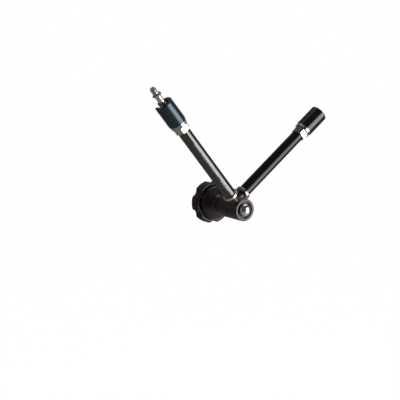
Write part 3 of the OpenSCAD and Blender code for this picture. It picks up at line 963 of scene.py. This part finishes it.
def moulded(name, base, roughness, relief, grain_size, coat=0.0):
    """Moulded plastic or rubber: a fine spark-eroded texture, with soft lighter scuffs."""
    material, tree = new_material(name)
    at = node(tree, "ShaderNodeTexCoord", {}, (), "Object")
    scuffs = node(
        tree, "ShaderNodeValToRGB", {"stops": [(0.50, 0.0), (0.78, 1.0)]},
        [node(tree, "ShaderNodeTexNoise", {}, {"Vector": at, "Scale": 85.0, "Detail": 6.0})],
    )
    grain = node(tree, "ShaderNodeTexNoise", {}, {"Vector": at, "Scale": grain_size, "Detail": 3.0})
    scuffed = [min(1.0, channel * 1.8 + 0.008) for channel in base]
    colour = node(
        tree, "ShaderNodeMix", {"data_type": "RGBA"},
        {0: 0.6 * scuffs, 6: (*base, 1.0), 7: (*scuffed, 1.0)}, 2,
    )
    bump = node(tree, "ShaderNodeBump", {}, {"Strength": relief, "Distance": 0.0003, "Height": grain})
    shader = node(tree, "ShaderNodeBsdfPrincipled", {}, {
        "Base Color": colour, "Roughness": roughness + 0.12 * grain + 0.05 * scuffs, "Normal": bump,
        "Coat Weight": coat, "Coat Roughness": 0.3,
    })
    show(tree, shader)
    return material


low, high = extent("knob_body", elbow_place)
cap_low, cap_high = extent("knob_cap", elbow_place)
grip_low, grip_high = extent("knob_grip", elbow_place)
insert_end = extent("knob_insert", elbow_place)[1].z
hub_radius, boss_radius = HUB_RADIUS, high.x
boss_start = grip_low.z - BOSS_LENGTH
outer = soften([
    (INSERT_RADIUS, low.z), (hub_radius, low.z), (hub_radius, boss_start - 0.008),
    (hub_radius + 0.0021, boss_start - 0.0044), (hub_radius + 0.0072, boss_start - 0.0019),
    (boss_radius - 0.0028, boss_start + 0.0011), (boss_radius, boss_start + 0.0038), (boss_radius, high.z),
], False, 0.0016, 5)
inner = [(WELL_RADIUS, high.z), (WELL_RADIUS, insert_end), (INSERT_RADIUS, insert_end)]
body = turned("knob_moulding", outer + inner, elbow_place, 160)
knob_red_black = moulded("knob_plastic", (0.018, 0.007, 0.006), 0.30, 0.05, 1500.0, 0.2)
settle(body, knob_red_black, "knob", "knob_plastic", "knob_body")

grip_radius = max(abs(grip_low.x), abs(grip_high.x), abs(grip_low.y), abs(grip_high.y))
notch_centre = grip_radius + NOTCH_RADIUS - NOTCH_DEPTH


def lobe_radius(angle, radius):
    """The grip's outline: a circle whose notches blend softly into the lobes."""
    step = 2 * math.pi / LOBES
    from_notch = math.fmod(angle - NOTCH_TURN + step * (LOBES + 0.5), step) - step / 2
    across = notch_centre * math.sin(from_notch)
    if abs(across) >= NOTCH_RADIUS:
        return radius
    notch = notch_centre * math.cos(from_notch) - math.sqrt(NOTCH_RADIUS ** 2 - across ** 2)
    gap = (notch - grip_radius) / NOTCH_BLEND
    blended = radius - NOTCH_BLEND * math.log1p(math.exp(min(40.0, -gap)))
    return min(radius, blended)


def grip_outline(angle):
    full = lobe_radius(angle, grip_radius)
    points = soften([
        (boss_radius, grip_low.z), (full, grip_low.z), (full, grip_high.z), (boss_radius, grip_high.z),
    ], True, GRIP_ROUND, 6)
    return [(max(point[0], boss_radius), point[1]) for point in points]


grip = turned("lobed_grip", grip_outline, elbow_place, 360, 50)
grip_rubber = moulded("grip_rubber", (0.007, 0.007, 0.007), 0.40, 0.12, 1900.0)
settle(grip, grip_rubber, "knob", "grip_rubber", "knob_grip")

cap_radius = cap_high.x - 0.0001
dish = cap_high.z - CAP_DISH
cap_outline = soften([
    (0.0, dish), (CAP_DISH_RADIUS, dish), (CAP_DISH_RADIUS + 0.001, cap_high.z),
    (cap_radius, cap_high.z), (cap_radius, cap_low.z), (0.0, cap_low.z),
], False, 0.0006, 4)
cap = turned("knob_end_cap", cap_outline, elbow_place, 128)
cap_plastic = moulded("cap_plastic", (0.022, 0.021, 0.021), 0.38, 0.12, 1500.0, 0.2)
settle(cap, cap_plastic, "knob", "knob_plastic", "knob_cap")

# ---------------------------------------------------------------------------------------------
# Printed strip. The upper tube carries a pale screen-printed scale: a row of plain ticks with an
# empty outlined box at its lower end. The ink is a thin skin that lies on the tube.
# ---------------------------------------------------------------------------------------------
INK_THICKNESS = 0.00004
INK_PITCH = 0.0024
INK_START = 0.078
INK_COUNT = 30
INK_TURN = math.radians(-97)
TICK_LONG = 0.0042
TICK_WIDE = 0.0010
BOX_LOW = 0.048
BOX_HIGH = 0.070
BOX_HALF = 0.0021
BOX_LINE = 0.0006


def tick_tree(name):
    """A node tree that repeats one curved tick along the tube's axis."""
    tree = bpy.data.node_groups.new(name, "GeometryNodeTree")
    face = tree.interface
    for label, kind in (
        ("Tick", "NodeSocketObject"), ("Count", "NodeSocketInt"), ("Pitch", "NodeSocketFloat"),
        ("Material", "NodeSocketMaterial"),
    ):
        face.new_socket(label, in_out="INPUT", socket_type=kind)
    face.new_socket("Geometry", in_out="OUTPUT", socket_type="NodeSocketGeometry")
    inputs = tree.nodes.new("NodeGroupInput")
    given = {socket.name: Wire(tree, socket) for socket in inputs.outputs if socket.name}
    step = node(tree, "ShaderNodeCombineXYZ", {}, {"Z": given["Pitch"]})
    line = node(tree, "GeometryNodeMeshLine", {"mode": "OFFSET"}, {
        "Count": given["Count"], "Offset": step,
    })
    tick = node(
        tree, "GeometryNodeObjectInfo", {"transform_space": "ORIGINAL"}, {"Object": given["Tick"]},
        "Geometry",
    )
    copies = node(tree, "GeometryNodeInstanceOnPoints", {}, {"Points": line, "Instance": tick})
    whole = node(tree, "GeometryNodeRealizeInstances", {}, [copies])
    painted = node(tree, "GeometryNodeSetMaterial", {}, {"Geometry": whole, "Material": given["Material"]})
    out = tree.nodes.new("NodeGroupOutput")
    tree.links.new(painted.socket, out.inputs["Geometry"])
    return tree


def ink_patch(name, radius, middle, half_arc, low, high, steps=8):
    """A thin closed skin on the tube, between two angles and two heights."""
    made = bmesh.new()
    shells = []
    for lift in (-INK_THICKNESS, INK_THICKNESS):
        rows = []
        for height in (low, high):
            row = []
            for i in range(steps + 1):
                angle = middle + (2 * i / steps - 1) * half_arc / radius
                out = radius + lift
                row.append(made.verts.new((out * math.cos(angle), out * math.sin(angle), height)))
            rows.append(row)
        shells.append(rows)
    (under_low, under_high), (over_low, over_high) = shells
    for i in range(steps):
        made.faces.new([over_low[i], over_low[i + 1], over_high[i + 1], over_high[i]])
        made.faces.new([under_low[i + 1], under_low[i], under_high[i], under_high[i + 1]])
        made.faces.new([under_low[i], under_low[i + 1], over_low[i + 1], over_low[i]])
        made.faces.new([over_high[i], over_high[i + 1], under_high[i + 1], under_high[i]])
    made.faces.new([under_low[0], over_low[0], over_high[0], under_high[0]])
    made.faces.new([over_low[-1], under_low[-1], under_high[-1], over_high[-1]])
    bmesh.ops.recalc_face_normals(made, faces=made.faces)
    mesh = bpy.data.meshes.new(name)
    made.to_mesh(mesh)
    made.free()
    return add_piece(name, mesh)


ink = plain_finish("pale_ink", (0.93, 0.91, 0.84), 0.0, 0.5, 1200.0, 0.03)
place = mic_places["arm"]
low, high = extent("upper_tube", place)
tube_radius = high.x
tick = ink_patch("tick", tube_radius, INK_TURN, TICK_LONG / 2, 0.0, TICK_WIDE)
ticks = grown("printed_ticks", tick_tree("printed_scale"), {
    "Tick": tick, "Count": INK_COUNT, "Pitch": INK_PITCH, "Material": ink,
}, place @ Matrix.Translation((0.0, 0.0, INK_START)))
bpy.data.objects.remove(tick)
frame_lines = [
    ink_patch("box_side", tube_radius, INK_TURN + turn, BOX_LINE / 2, BOX_LOW, BOX_HIGH)
    for turn in (-BOX_HALF / tube_radius, BOX_HALF / tube_radius)
] + [
    ink_patch("box_end", tube_radius, INK_TURN, BOX_HALF - BOX_LINE / 2, height, height + BOX_LINE)
    for height in (BOX_LOW, BOX_HIGH - BOX_LINE)
]
for line in frame_lines:
    line.data.transform(place)
strip = joined([ticks] + frame_lines)
settle(strip, ink, "upper_arm", "black_tube")

# ---------------------------------------------------------------------------------------------
# The bounds of the finished model's visible pieces.
# ---------------------------------------------------------------------------------------------
low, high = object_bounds()
